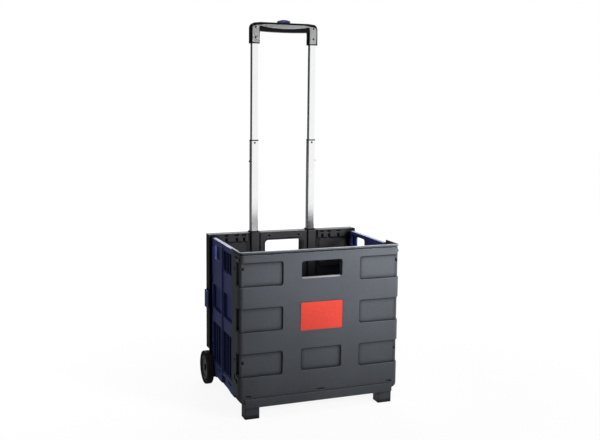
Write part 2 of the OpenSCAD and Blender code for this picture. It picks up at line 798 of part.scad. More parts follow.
// ledges under the rear corners of the floor
module floor_rests() {
    color("#2a2b2d") both()
        box([floor_half - 0.8*rest_d, rear_y, rest_z - 5], [side_in_x, rear_y + rest_d, rest_z]);
}

module outer_tube() {
    translate([tube_x, tube_y, tube_low]) difference() {
        linear_extrude(rim_z - tube_low) difference() {
            tube_outline(outer_w, outer_d);
            rrect(outer_w - 2*tube_t, outer_d - 2*tube_t, 3.3);
        }
        box([0, -lock_d/2 - 0.8, lock_z - mid_travel - 6 - tube_low],
            [outer_w, lock_d/2 + 0.8, rim_z]);
    }
}
module outer_tube_right() { color("silver") outer_tube(); }
module outer_tube_left() { color("silver") mirror([1, 0, 0]) outer_tube(); }

// slide guides pressed into the tops of the channels
module tube_guides() {
    color("#1c1c1e") both() translate([tube_x, tube_y, rim_z]) linear_extrude(collar_h) difference() {
        rrect(outer_w + 4, outer_d + 3, 5);
        rrect(mid_w + 2*tube_play, mid_d + 2*tube_play, 3.2);
        translate([0, -lock_d/2 - 0.8]) square([outer_w, lock_d + 1.6]);
    }
}

// ---------------------------------------------------------------- telescopic handle

module mid_tube() {
    difference() {
        translate([tube_x, tube_y, mid_low]) linear_extrude(mid_top - mid_low) difference() {
            rrect(mid_w, mid_d, 3);
            rrect(mid_w - 2*tube_t, mid_d - 2*tube_t, 1.8);
        }
        translate([tube_x, tube_y, lock_z]) rotate([0, 90, 0]) cylinder(h = mid_w, d = lock_d + 0.2);
        translate([tube_x, tube_y, mid_top - rivet_drop]) rotate([90, 0, 0])
            cylinder(h = mid_w, d = rivet_d);
    }
}
module mid_tube_right() { color("#d8dadc") mid_tube(); }
module mid_tube_left() { color("#d8dadc") mirror([1, 0, 0]) mid_tube(); }

// dark collar on the top end of each middle tube
module mid_tube_collars() {
    color("#1c1c1e") both() translate([tube_x, tube_y, mid_top]) linear_extrude(collar_h) difference() {
        rrect(mid_w + 1, mid_d + 1, 3.4);
        rrect(inner_w + 2*tube_play, inner_d + 2*tube_play, 1.9);
    }
}

module collar_rivets() {
    color("#1c1c1e") both() translate([tube_x, tube_y - mid_d/2 + tube_t, mid_top - rivet_drop])
        rotate([90, 0, 0]) cylinder(h = tube_t + tube_play - 0.1, d = rivet_d);
}

module lock_pins() {
    color("#1c1c1e") both() translate([tube_x + mid_w/2 - tube_t, tube_y, lock_z]) rotate([0, 90, 0])
        cylinder(h = lock_tip - mid_w/2 + tube_t, d = lock_d);
}

module inner_tube() {
    translate([tube_x, tube_y, inner_low]) linear_extrude(grip_under + 2 - inner_low) difference() {
        rrect(inner_w, inner_d, 2);
        rrect(inner_w - 2*tube_t, inner_d - 2*tube_t, 1);
    }
}
module inner_tube_right() { color("#e4e6e8") inner_tube(); }
module inner_tube_left() { color("#e4e6e8") mirror([1, 0, 0]) inner_tube(); }

// plugs in the lower ends of the inner tubes
module inner_tube_guides() {
    color("#1c1c1e") both() translate([tube_x, tube_y, inner_low - 1]) {
        linear_extrude(1) rrect(inner_w, inner_d, 2);
        linear_extrude(22) rrect(inner_w - 2*tube_t, inner_d - 2*tube_t, 1);
    }
}

// ---------------------------------------------------------------- grip

shoulder_r = 16;
shoulder_drop = 3;
crown_r = 720;
under_r = 1200;
plate_top_r = 450;
plate_low_r = 344;
grip_gap_half = tube_x - grip_leg_w/2;

// front view of the grip; inset makes it smaller all round
module grip_outline(inset) {
    difference() {
        intersection() {
            union() {
                translate([0, (grip_z + grip_top - shoulder_drop)/2])
                    rrect(2*(grip_half - inset), grip_top - shoulder_drop - grip_z - 2*inset, shoulder_r);
                translate([0, grip_z + inset + 10])
                    square([2*(grip_half - inset), 20], center = true);
            }
            translate([0, grip_top - inset - crown_r]) circle(crown_r, $fn = 180);
        }
        difference() {
            translate([0, grip_z + (grip_leg + 4)/2 - 6])
                rrect(2*(grip_gap_half + inset), grip_leg + 16, 8);
            translate([0, grip_under + under_r - inset]) circle(under_r, $fn = 240);
        }
    }
}

module grip_body() {
    y0 = grip_front_y;
    y1 = y0 + grip_t;
    color("#1d1d20") difference() {
        union() {
            plate_y(y0 + 1.8, y1 - 1.8) grip_outline(0);
            plate_y(y0 + 0.7, y1 - 0.7) grip_outline(0.7);
            plate_y(y0, y1) grip_outline(1.8);
        }
        // seats of the front plate, the tubes and the button
        plate_y(y0 - 1, y0 + 1.5) front_plate_outline(0.2);
        both() translate([tube_x, tube_y, grip_z - 1]) linear_extrude(grip_leg + 3.2)
            rrect(inner_w + 0.2, inner_d + 0.2, 2.1);
        translate([0, tube_y, grip_top - 18]) linear_extrude(30)
            rrect(button_w + 0.8, 12.8, 3.4);
        for (p = screw_places) translate([p[0], y0 - 1, p[1]]) rotate([-90, 0, 0])
            cylinder(h = 4.5, d = 2.9);
    }
}

// the pale plate over the front of the grip
module front_plate_outline(grow) {
    half = grip_half - 3.6 + grow;
    low = grip_z + 2.5 - grow;
    top = grip_top - 5 + grow;
    bar = grip_under + 6.6 - grow;
    difference() {
        intersection() {
            union() {
                translate([0, (low + top - shoulder_drop)/2])
                    rrect(2*half, top - shoulder_drop - low, shoulder_r - 3);
                translate([0, low + 12]) square([2*half, 24], center = true);
            }
            translate([0, top - plate_top_r]) circle(plate_top_r, $fn = 180);
        }
        difference() {
            translate([0, grip_z]) rrect(2*(grip_gap_half + 1.7 - grow), 2*(bar + 9 - grip_z), 8);
            translate([0, bar + plate_low_r]) circle(plate_low_r, $fn = 240);
        }
    }
}

screw_places = [for (s = [-1, 1], z = [grip_z + 15.5, grip_top - 15.7]) [s*tube_x, z]];

module grip_front() {
    y0 = grip_front_y;
    color("#8d9094") difference() {
        plate_y(y0, y0 + 1.5) front_plate_outline(0);
        for (p = screw_places) translate([p[0], y0 - 1, p[1]]) rotate([-90, 0, 0])
            cylinder(h = 4, d = 5.2);
    }
}

module grip_screws() {
    color("#2a2a2c") for (p = screw_places)
        translate([p[0], grip_front_y + 0.3, p[1]]) rotate([-90, 0, 0]) {
            cylinder(h = 1.2, d = 5);
            cylinder(h = 3, d = 2.8);
        }
}

module release_button() {
    r = 48;
    color("#2b2f5c") intersection() {
        translate([0, tube_y, grip_top - 10]) linear_extrude(30) rrect(button_w, 12, 3);
        translate([0, tube_y + 10, grip_top + button_up - r]) rotate([90, 0, 0])
            cylinder(h = 20, r = r, $fn = 96);
    }
}

module button_spring() {
    color("silver") for (s = [-1, 1]) translate([s*10, tube_y, grip_top - 17.9]) difference() {
        cylinder(h = 7.9, r = 3);
        translate([0, 0, -1]) cylinder(h = 10, r = 2);
    }
}

// ---------------------------------------------------------------- latches

latch_pin_d = 2.5;
latch_gap = 0.4;
latch_x = back_x + latch_gap + latch_t/2 + 1;
latch_knuckle_r = latch_t/2 + 1;
latch_y = back_y - latch_knuckle_r;

module latch_lugs() {
    for (s = [-1, 1]) {
        z = latch_z + s*(latch_h/2 - 4);
        translate([latch_x, latch_y, z - 4]) cylinder(h = 8, r = latch_knuckle_r);
        box([back_x - 1, latch_y - latch_knuckle_r, z - 4], [latch_x, latch_y + latch_knuckle_r, z + 4]);
    }
}

module latch() {
    r = latch_knuckle_r;
    h = latch_h;
    difference() {
        union() {
            plate_x(latch_x + r - latch_t, latch_x + r)
                translate([latch_y - (latch_l + r + 1)/2, latch_z]) rrect(latch_l - r - 1, h, 4);
            translate([latch_x, latch_y, latch_z - h/2 + 8 + gap]) cylinder(h = h - 16 - 2*gap, r = r);
            box([latch_x + r - latch_t, latch_y - r - 4, latch_z - h/2 + 8 + gap],
                [latch_x + r, latch_y, latch_z + h/2 - 8 - gap]);
        }
        translate([latch_x, latch_y, latch_z - h]) cylinder(h = 2*h, d = latch_pin_d + 2*pin_play);
        // finger grooves
        for (k = [-1:1]) plate_x(latch_x + r - 0.8, latch_x + r + 1)
            translate([latch_y - latch_l + 8 , latch_z + k*9]) rrect(6, 3, 1.4);
    }
}
module latch_right() { color("#2b2f5c") latch(); }
module latch_left() { color("#2b2f5c") mirror([1, 0, 0]) latch(); }
module latch_pins() {
    color("silver") both() translate([latch_x, latch_y, latch_z - latch_h/2])
        cylinder(h = latch_h, d = latch_pin_d);
}

// ---------------------------------------------------------------- wheels

module on_axle() {
    translate([0, axle_y, wheel_r]) rotate([0, 90, 0]) children();
}

module axle() {
    translate([side_in_x - 3, 0, 0]) on_axle() {
        cylinder(h = wheel_out - dish - side_in_x + 4, d = axle_d);
        cylinder(h = 2.9, d = axle_d + 4);
    }
}
module axle_right() { color("silver") axle(); }
module axle_left() { color("silver") mirror([1, 0, 0]) axle(); }

module tyre() {
    w = wheel_w;
    translate([wheel_x, 0, 0]) on_axle() rotate_extrude($fn = 96) difference() {
        translate([(hub_r + wheel_r)/2, w/2]) rrect(wheel_r - hub_r, w, 3.4);
        translate([hub_r + (wheel_r - hub_r)*0.55, w]) circle(1);
        translate([wheel_r, w*0.35]) circle(0.7);
        translate([wheel_r, w*0.65]) circle(0.7);
    }
}
module tyre_right() { color("#161617") tyre(); }
module tyre_left() { color("#161617") mirror([1, 0, 0]) tyre(); }

module hub() {
    w = wheel_w;
    bore = axle_d/2 + pin_play;
    translate([wheel_x, 0, 0]) on_axle() difference() {
        rotate_extrude($fn = 96) difference() {
            union() {
                translate([bore, 0.5]) square([7, w - dish - 0.5]);
                translate([bore, w/2 - 2]) square([hub_r - bore - 3, 4]);
                translate([hub_r - 5, 1.5]) square([5, w - 3]);
                translate([bore, w - dish - 3]) square([hub_r - bore - 2, 3]);
            }
        }
        for (a = [0:60:300]) rotate(a) translate([hub_r*0.58, 0, -1]) cylinder(h = w/2 - 2.5, r = 5.5);
    }
}
module hub_right() { color("#3a3c40") hub(); }
module hub_left() { color("#3a3c40") mirror([1, 0, 0]) hub(); }

module hub_cap() {
    translate([wheel_out - dish + 0.2, 0, 0]) on_axle() difference() {
        union() {
            cylinder(h = 1.6, r = 9);
            cylinder(h = dish - 0.4, r = 7);
        }
        translate([0, 0, -1]) cylinder(h = 1.8, d = axle_d);
    }
}
module hub_cap_right() { color("#3a3c40") hub_cap(); }
module hub_cap_left() { color("#3a3c40") mirror([1, 0, 0]) hub_cap(); }

module wheel_washers() {
    t = 1.1;
    color("silver") both() translate([wheel_x - 0.9, 0, 0]) on_axle() difference() {
        cylinder(h = t, r = 8);
        translate([0, 0, -1]) cylinder(h = 3, d = axle_d);
    }
}

back_panel();
outer_tube_left();
outer_tube_right();
tube_guides();
mid_tube_left();
mid_tube_right();
mid_tube_collars();
collar_rivets();
lock_pins();
inner_tube_left();
inner_tube_right();
inner_tube_guides();
grip_body();
grip_front();
grip_screws();
release_button();
button_spring();
front_tray();
label_plate();
left_rear_side();
left_front_side();
right_rear_side();
right_front_side();
left_rear_pin();
left_mid_pin();
left_front_pin();
right_rear_pin();
right_mid_pin();
right_front_pin();
floor_panel();
floor_rod();
latch_left();
latch_right();
latch_pins();
axle_left();
axle_right();
tyre_left();
tyre_right();
hub_left();
hub_right();
hub_cap_left();
hub_cap_right();
wheel_washers();
wheel_bracket_left();
wheel_bracket_right();
floor_rests();
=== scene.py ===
"""Looks for the folding shopping trolley: camera, light, floor, materials and fine pieces."""

import json
import math

import bmesh
import bpy
from mathutils import Matrix, Vector


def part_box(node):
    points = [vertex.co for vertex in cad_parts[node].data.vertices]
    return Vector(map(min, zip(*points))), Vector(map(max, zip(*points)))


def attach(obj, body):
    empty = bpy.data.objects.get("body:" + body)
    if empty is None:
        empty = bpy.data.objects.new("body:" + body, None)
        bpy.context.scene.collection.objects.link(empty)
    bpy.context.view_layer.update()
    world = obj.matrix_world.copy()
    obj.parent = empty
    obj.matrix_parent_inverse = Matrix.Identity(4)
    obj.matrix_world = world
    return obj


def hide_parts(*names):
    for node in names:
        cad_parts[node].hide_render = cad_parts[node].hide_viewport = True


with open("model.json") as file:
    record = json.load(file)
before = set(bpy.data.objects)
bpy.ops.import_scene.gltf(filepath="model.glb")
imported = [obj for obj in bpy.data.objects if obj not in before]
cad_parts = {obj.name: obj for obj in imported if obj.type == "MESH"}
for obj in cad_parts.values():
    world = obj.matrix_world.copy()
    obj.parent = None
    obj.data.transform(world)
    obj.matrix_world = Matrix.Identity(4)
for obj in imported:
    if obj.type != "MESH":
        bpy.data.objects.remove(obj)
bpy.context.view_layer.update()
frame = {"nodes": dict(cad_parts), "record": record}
NODES = frame["nodes"]

WHITE = (1, 1, 1, 1)
# lengths are in metres: how far the tray's box reaches past its front face and its side faces
BAND_PROUD, LUG_PROUD = 0.0015, 0.0035


def node_box(node):
    """The low and high corners of a CAD node."""
    low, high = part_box(node)
    return Vector(low), Vector(high)


def add_object(name, bm):
    """Turns a bmesh into an object in the scene."""
    mesh = bpy.data.meshes.new(name)
    bm.to_mesh(mesh)
    bm.free()
    obj = bpy.data.objects.new(name, mesh)
    bpy.context.scene.collection.objects.link(obj)
    return obj


# ---------------------------------------------------------------- camera

# the photograph's camera, solved from the crate's edges; image measures are in pixels
PHOTO_WIDTH, PHOTO_HEIGHT = 600, 440
OPTICAL_CENTRE = (294.12, 204.87)
FOCAL_LENGTH = 829.2
YAW, PITCH, ROLL = 20.468, 7.144, 0.570
CAMERA_X, CAMERA_BEFORE_TRAY, CAMERA_Z = -0.7471, 1.8037, 0.7506
SENSOR_MM = 36
CLIP_END = 50


def make_camera():
    yaw, pitch, roll = (math.radians(a) for a in (YAW, PITCH, ROLL))
    level = math.cos(pitch)
    ahead = Vector((math.sin(yaw) * level, math.cos(yaw) * level, -math.sin(pitch)))
    across = Vector((math.cos(yaw), -math.sin(yaw), 0))
    upright = across.cross(ahead)
    right = across * math.cos(roll) + upright * math.sin(roll)
    up = upright * math.cos(roll) - across * math.sin(roll)
    data = bpy.data.cameras.new("camera")
    data.sensor_fit = "HORIZONTAL"
    data.sensor_width = SENSOR_MM
    data.lens = FOCAL_LENGTH / PHOTO_WIDTH * SENSOR_MM
    data.shift_x = (PHOTO_WIDTH / 2 - OPTICAL_CENTRE[0]) / PHOTO_WIDTH
    data.shift_y = (OPTICAL_CENTRE[1] - PHOTO_HEIGHT / 2) / PHOTO_WIDTH
    data.clip_end = CLIP_END
    camera = bpy.data.objects.new("camera", data)
    tray_face = node_box("front_tray")[0].y + BAND_PROUD
    pose = Matrix((right, up, -ahead)).transposed().to_4x4()
    pose.translation = Vector((CAMERA_X, tray_face - CAMERA_BEFORE_TRAY, CAMERA_Z))
    camera.matrix_world = pose
    bpy.context.scene.collection.objects.link(camera)
    bpy.context.scene.camera = camera


# ---------------------------------------------------------------- node trees


class Tree:
    """A shader node tree, built a node at a time. A value is a socket, a number or a colour."""

    def __init__(self, owner):
        owner.use_nodes = True
        self.nodes = owner.node_tree.nodes
        self.links = owner.node_tree.links

    def add(self, kind, **settings):
        """Adds a shader node of a kind and sets its attributes."""
        node = self.nodes.new("ShaderNode" + kind)
        for key, value in settings.items():
            setattr(node, key, value)
        return node

    def put(self, value, socket):
        """Links a socket to an input, or writes a plain value on it."""
        if isinstance(value, bpy.types.NodeSocket):
            self.links.new(value, socket)
        else:
            socket.default_value = value

    def math(self, operation, *values):
        node = self.add("Math", operation=operation)
        for value, socket in zip(values, node.inputs):
            self.put(value, socket)
        return node.outputs[0]

    def ramp(self, value, start, end, low=0.0, high=1.0, curve="LINEAR"):
        """low up to start, high from end on."""
        node = self.add("MapRange", interpolation_type=curve)
        for key, item in (
            ("Value", value),
            ("From Min", start),
            ("From Max", end),
            ("To Min", low),
            ("To Max", high),
        ):
            self.put(item, node.inputs[key])
        return node.outputs["Result"]

    def coordinate(self, vector, name):
        node = self.add("SeparateXYZ")
        self.put(vector, node.inputs[0])
        return node.outputs[name]

    def join(self, node, *shaders):
        """Links shaders to a node's shader inputs."""
        sockets = [s for s in node.inputs if s.type == "SHADER"]
        for shader, socket in zip(shaders, sockets):
            self.put(shader, socket)
        return node.outputs[0] if node.outputs else None


# ---------------------------------------------------------------- stage

# ramps along the world's X direction and over the floor: start, end, strength before, after
WORLD_SIDE = (-0.16, 0.26, 0.05, 1.0)
FLOOR_SIDE = (-0.45, 0.25, 0.08, 1.0)
FLOOR_NEAR = (0.3, 1.8, 0.55, 1.0)
FLOOR_FADE = (0.4, 2.0, 0.91, 1.0)
# strength of the world's soft light, and the share of it that the dim side keeps
WORLD_SOFT = 0.08
DIM_SIDE_SHARE = 0.4
FLOOR_REACH = 9
FLOOR_GREY = (0.14, 0.14, 0.14, 1)


def make_world():
    """White to the camera. Gloss sees it dim on the left, and its own light is low and soft."""
    world = bpy.data.worlds.new("studio")
    bpy.context.scene.world = world
    tree = Tree(world)
    tree.nodes.clear()

    def background(strength):
        node = tree.add("Background")
        tree.put(WHITE, node.inputs["Color"])
        tree.put(strength, node.inputs["Strength"])
        return node.outputs[0]

    def either(factor, first, second):
        node = tree.add("MixShader")
        tree.put(factor, node.inputs[0])
        return tree.join(node, first, second)

    ray = tree.add("LightPath").outputs
    sideways = tree.coordinate(tree.add("TexCoord").outputs["Generated"], "X")
    side = tree.ramp(sideways, *WORLD_SIDE, curve="SMOOTHSTEP")
    lifted = tree.math("MULTIPLY_ADD", side, 1 - DIM_SIDE_SHARE, DIM_SIDE_SHARE)
    soft = background(tree.math("MULTIPLY", lifted, WORLD_SOFT))
    unseen = either(ray["Is Glossy Ray"], soft, background(side))
    seen = tree.math("MAXIMUM", ray["Is Camera Ray"], ray["Is Transmission Ray"])
    tree.join(tree.add("OutputWorld"), either(seen, unseen, background(1.0)))


def area(name, place, target, size, watts, spread=180, mirrored=True):
    """An area lamp aimed at a target; spread is in degrees, mirrored lets gloss show it."""
    data = bpy.data.lights.new(name, "AREA")
    data.shape = "RECTANGLE"
    data.size, data.size_y = size
    data.energy = watts
    data.spread = math.radians(spread)
    lamp = bpy.data.objects.new(name, data)
    lamp.location = place
    lamp.visible_glossy = mirrored
    aim = Vector(target) - Vector(place)
    lamp.rotation_euler = aim.to_track_quat("-Z", "Y").to_euler()
    bpy.context.scene.collection.objects.link(lamp)


def make_lamps():
    # a small key close to the right front, aimed just over the tray's right corner
    near_right, over_corner = (0.62, -0.95, 0.66), (0.17, -0.16, 0.51)
    area("key", near_right, over_corner, (0.40, 0.40), 3.15, spread=58, mirrored=False)
    # a wide top light
    area("top", (0.25, -0.35, 2.5), (0, 0, 0.3), (1.8, 1.6), 18)
    # a weak fill from the left front
    area("fill", (-1.7, -1.2, 0.8), (-0.2, 0.0, 0.3), (1.0, 1.0), 3, mirrored=False)
    # a strong, wide light from behind on the right, and a weaker one from the left
    area("back", (0.9, 2.7, 1.7), (0, 0, 0.35), (1.8, 1.4), 34)
    area("left", (-2.6, 0.9, 1.2), (0, 0, 0.35), (1.4, 1.4), 9.5, mirrored=False)


def make_floor():
    """A grey that takes the shadows, with a glow that only the camera and gloss see."""
    bm = bmesh.new()
    bmesh.ops.create_grid(bm, x_segments=1, y_segments=1, size=FLOOR_REACH)
    floor = add_object("floor", bm)
    mat = bpy.data.materials.new("floor")
    floor.data.materials.append(mat)
    tree = Tree(mat)
    tree.nodes.clear()
    ray = tree.add("LightPath").outputs
    place = tree.add("TexCoord").outputs["Object"]
    length = tree.add("VectorMath", operation="LENGTH")
    tree.put(place, length.inputs[0])
    distance = length.outputs["Value"]
    # gloss sees it dimmer on the left and near the object
    side = tree.ramp(tree.coordinate(place, "X"), *FLOOR_SIDE, curve="SMOOTHSTEP")
    dim = tree.math("MULTIPLY", side, tree.ramp(distance, *FLOOR_NEAR))
    mirrored = tree.math("MULTIPLY", dim, ray["Is Glossy Ray"])
    seen = tree.math("MAXIMUM", ray["Is Camera Ray"], mirrored)
    # whiter far from the object, so that the floor meets the backdrop without an edge
    glow = tree.add("Emission")
    tree.put(WHITE, glow.inputs["Color"])
    strength = tree.math("MULTIPLY", seen, tree.ramp(distance, *FLOOR_FADE))
    tree.put(strength, glow.inputs["Strength"])
    base = tree.add("BsdfDiffuse")
    tree.put(FLOOR_GREY, base.inputs["Color"])
    both = tree.join(tree.add("AddShader"), base.outputs[0], glow.outputs[0])
    tree.join(tree.add("OutputMaterial"), both)


# ---------------------------------------------------------------- materials


class Finish(Tree):
    """A material's node tree, with patterns that lie in the part's own coordinates."""

    def __init__(self, name):
        self.mat = bpy.data.materials.new(name)
        super().__init__(self.mat)
        self.inputs = self.nodes["Principled BSDF"].inputs
        self.place = self.add("TexCoord").outputs["Object"]

    def stretched(self, scale):
        node = self.add("Mapping")
        self.put(scale, node.inputs["Scale"])
        self.put(self.place, node.inputs["Vector"])
        return node.outputs[0]

    def noise(self, scale, detail, rough, at=None):
        node = self.add("TexNoise")
        self.put(scale, node.inputs["Scale"])
        self.put(detail, node.inputs["Detail"])
        self.put(rough, node.inputs["Roughness"])
        self.put(at or self.place, node.inputs["Vector"])
        return node.outputs["Fac"]

    def cells(self, scale, smoothness=0.6):
        node = self.add("TexVoronoi", feature="SMOOTH_F1")
        self.put(scale, node.inputs["Scale"])
        self.put(smoothness, node.inputs["Smoothness"])
        self.put(self.place, node.inputs["Vector"])
        return node.outputs["Distance"]

    def mix(self, factor, first, second):
        """From the first colour to the second; a colour is a socket or (r, g, b)."""
        node = self.add("Mix", data_type="RGBA")
        self.put(factor, node.inputs["Factor"])
        for key, colour in (("A", first), ("B", second)):
            socket = next(s for s in node.inputs if s.name == key and s.type == "RGBA")
            self.put((*colour, 1) if isinstance(colour, tuple) else colour, socket)
        return next(s for s in node.outputs if s.type == "RGBA")

    def rounded(self, radius, samples=4):
        """The surface's direction, as if its edges had this radius."""
        node = self.add("Bevel", samples=samples)
        self.put(radius, node.inputs["Radius"])
        return node.outputs[0]

    def edges(self, rounded, flat=0.985, sharp=0.80):
        """0 on flat faces, rising to 1 on outer and inner edges."""
        dot = self.add("VectorMath", operation="DOT_PRODUCT")
        self.put(self.add("NewGeometry").outputs["Normal"], dot.inputs[0])
        self.put(rounded, dot.inputs[1])
        return self.ramp(dot.outputs["Value"], flat, sharp)

    def upward(self, normal, start=0.10, end=0.35):
        """0 where the surface is upright or faces down, 1 where it turns up."""
        return self.ramp(self.coordinate(normal, "Z"), start, end)

    def openness(self, reach, samples=6, closed=0.78, clear=0.985):
        """1 on open faces, falling to 0 in inner corners and grooves."""
        node = self.add("AmbientOcclusion", samples=samples)
        self.put(reach, node.inputs["Distance"])
        return self.ramp(node.outputs["AO"], closed, clear)

    def bump(self, height, strength, depth, normal):
        node = self.add("Bump")
        for key, item in (
            ("Strength", strength),
            ("Distance", depth),
            ("Height", height),
            ("Normal", normal),
        ):
            self.put(item, node.inputs[key])
        self.put(node.outputs[0], self.inputs["Normal"])


def shade(colour, factor):
    return tuple(min(1, x * factor) for x in colour)


# patterns of the plastics: repeats per metre, detail, roughness of the noise
FLOW = (5.5, 3, 0.6)
CLOUDS = (190, 3, 0.7)
SCUFFS = (38, 7, 0.75)
RUBBING = (55, 4, 0.7)
FINE_GRAIN = (2600, 2, 0.55)
GRAIN_CELLS = 850
# the band of a pattern's values over which it sets in
WIDE_BAND, MIDDLE_BAND, SCUFF_BAND = (0.3, 0.7), (0.38, 0.62), (0.60, 0.74)
# what a colour is multiplied by in the mottle's dark and light, in scuffs, and in the painted
# shade of crevices
MOTTLE_DARK, MOTTLE_LIGHT, SCUFFED, CREVICE_PAINTED_SHADE = 0.88, 1.12, 1.35, 0.06
# the flow marks' share of the mottle, and how much of the other patterns shows at their fullest
FLOW_SHARE, SCUFF_SHARE, RUBBED_SHARE, FINE_GRAIN_SHARE = 0.6, 0.22, 0.5, 0.5
# what flow marks take from and add to the roughness, and what wear changes it by
SMOOTHER, ROUGHER, WEAR_CHANGE = 0.03, 0.04, 0.07
GRAIN_DEPTH = 0.0003


def plastic(
    name,
    colour,
    rough=0.42,
    grain=0.16,
    wear=1.5,
    radius=0.0008,
    specular=0.35,
    painted_shade_reach=0.012,
    painted_highlight=5.5,
):
    """Moulded plastic: spark-eroded grain, flow marks, rubbed edges, painted shade in crevices.

    wear multiplies the colour on rubbed edges, and polish, a painted highlight, multiplies it
    on lips that face up; painted_shade_reach is how far the painted shade of crevices reaches;
    grain is the strength of the bump.
    """
    f = Finish(name)
    flow = f.noise(*FLOW)
    scuffs = f.ramp(f.noise(*SCUFFS), *SCUFF_BAND)
    rounded = f.rounded(radius)
    edges = f.edges(rounded)
    rubbed = f.math("MULTIPLY", edges, f.ramp(f.noise(*RUBBING), *MIDDLE_BAND))
    clouds = f.math("MULTIPLY", f.noise(*CLOUDS), 1 - FLOW_SHARE)
    mottle = f.math("ADD", f.math("MULTIPLY", flow, FLOW_SHARE), clouds)
    mottle = f.ramp(mottle, *MIDDLE_BAND)
    body = f.mix(mottle, shade(colour, MOTTLE_DARK), shade(colour, MOTTLE_LIGHT))
    body = f.mix(f.math("MULTIPLY", scuffs, SCUFF_SHARE), body, shade(colour, SCUFFED))
    body = f.mix(f.math("MULTIPLY", rubbed, RUBBED_SHARE), body, shade(colour, wear))
    # painted shade: inner corners, grooves and recesses darken towards CREVICE_PAINTED_SHADE
    # times the colour, within painted_shade_reach
    clear = f.openness(painted_shade_reach)
    body = f.mix(clear, shade(colour, CREVICE_PAINTED_SHADE), body)
    # painted highlight: ledges and lips that face up are lightened as if they caught light from
    # above
    highlighted_lips = f.math("MULTIPLY", f.math("MULTIPLY", edges, clear), f.upward(rounded))
    body = f.mix(highlighted_lips, body, shade(colour, painted_highlight))
    f.put(body, f.inputs["Base Color"])
    roughness = f.ramp(flow, *WIDE_BAND, rough - SMOOTHER, rough + ROUGHER)
    roughness = f.math("ADD", roughness, f.math("MULTIPLY", scuffs, WEAR_CHANGE))
    roughness = f.math("SUBTRACT", roughness, f.math("MULTIPLY", rubbed, WEAR_CHANGE))
    f.put(roughness, f.inputs["Roughness"])
    f.put(specular, f.inputs["Specular IOR Level"])
    fine_grain = f.math("MULTIPLY", f.noise(*FINE_GRAIN), FINE_GRAIN_SHARE)
    f.bump(f.math("ADD", f.cells(GRAIN_CELLS), fine_grain), grain, GRAIN_DEPTH, rounded)
    return f.mat


# lines of a drawn metal, in repeats per metre along X, Y and the draw
DRAW_LINES = (900, 900, 6)
LINE_DETAIL, LINE_NOISE = 3, 0.6
LINE_DARK, LINE_LIGHT, LINE_ROUGHNESS = 0.95, 1.03, 0.05
LINE_STRENGTH, LINE_DEPTH = 0.05, 0.0002
SMUDGES = (30, 5, 0.65)
SMUDGE_BAND, SMUDGE_ROUGHNESS = (0.4, 0.7), 0.06
METAL_RADIUS = 0.0004


def drawn_metal(name, colour, rough):
    """Drawn or turned metal: fine upright lines, faint handling marks."""
    f = Finish(name)
    f.put(1.0, f.inputs["Metallic"])
    lines = f.noise(1.0, LINE_DETAIL, LINE_NOISE, at=f.stretched(DRAW_LINES))
    dark, light = shade(colour, LINE_DARK), shade(colour, LINE_LIGHT)
    f.put(f.mix(f.ramp(lines, *WIDE_BAND), dark, light), f.inputs["Base Color"])
    streaks = f.ramp(lines, *WIDE_BAND, rough - LINE_ROUGHNESS, rough + LINE_ROUGHNESS)
    smudges = f.ramp(f.noise(*SMUDGES), *SMUDGE_BAND, 0.0, SMUDGE_ROUGHNESS)
    f.put(f.math("ADD", streaks, smudges), f.inputs["Roughness"])
    f.bump(lines, LINE_STRENGTH, LINE_DEPTH, f.rounded(METAL_RADIUS))
    return f.mat


# patterns of the tyres, written as those of the plastics
PEBBLE_CELLS = 1100
FINE_PEBBLES = (400, 3, 0.55)
DUST = (45, 6, 0.7)
DUST_BAND, DUST_SHARE = (0.50, 0.72), 0.35
DUST_COLOUR = (0.085, 0.08, 0.075)
CLEAN_ROUGH, DUSTY_ROUGH = 0.68, 0.85
RUBBER_SPECULAR = 0.35
PEBBLE_STRENGTH, PEBBLE_DEPTH = 0.25, 0.0004
RUBBER_RADIUS = 0.0010


def rubber(name, colour):
    """Tyre rubber: matt, dusty in places, with a fine pebbled skin."""
    f = Finish(name)
    dust = f.ramp(f.noise(*DUST), *DUST_BAND)
    dusty = f.mix(f.math("MULTIPLY", dust, DUST_SHARE), colour, DUST_COLOUR)
    f.put(dusty, f.inputs["Base Color"])
    f.put(f.ramp(dust, 0, 1, CLEAN_ROUGH, DUSTY_ROUGH), f.inputs["Roughness"])
    f.put(RUBBER_SPECULAR, f.inputs["Specular IOR Level"])
    pebbles = f.math("ADD", f.cells(PEBBLE_CELLS), f.noise(*FINE_PEBBLES))
    f.bump(pebbles, PEBBLE_STRENGTH, PEBBLE_DEPTH, f.rounded(RUBBER_RADIUS))
    return f.mat


# painted_shade_reach sets how far the painted shade of crevices reaches
PLASTICS = {
    "black_plastic": {
        "colour": (0.029, 0.029, 0.032),
        "rough": 0.50,
        "wear": 1.8,
        "specular": 0.14,
        "painted_shade_reach": 0.02,
    },
    "grip_black": {"colour": (0.008, 0.008, 0.009), "rough": 0.52, "specular": 0.1},
    "slate_plastic": {
        "colour": (0.072, 0.078, 0.090),
        "rough": 0.45,
        "wear": 1.6,
        "radius": 0.0014,
    },
    "navy_plastic": {
        "colour": (0.058, 0.078, 0.250),
        "wear": 1.6,
        "painted_shade_reach": 0.003,
    },
    "floor_plastic": {"colour": (0.022, 0.022, 0.024), "rough": 0.5, "wear": 1.8},
    "label_red": {
        "colour": (0.70, 0.062, 0.042),
        "rough": 0.34,
        "grain": 0.05,
        "wear": 1.05,
        "radius": 0.0005,
    },
    "grip_grey": {"colour": (0.47, 0.475, 0.48), "rough": 0.38, "wear": 1.3},
    "hub_plastic": {
        "colour": (0.045, 0.049, 0.060),
        "rough": 0.30,
        "wear": 1.8,
        "specular": 0.5,
    },
}
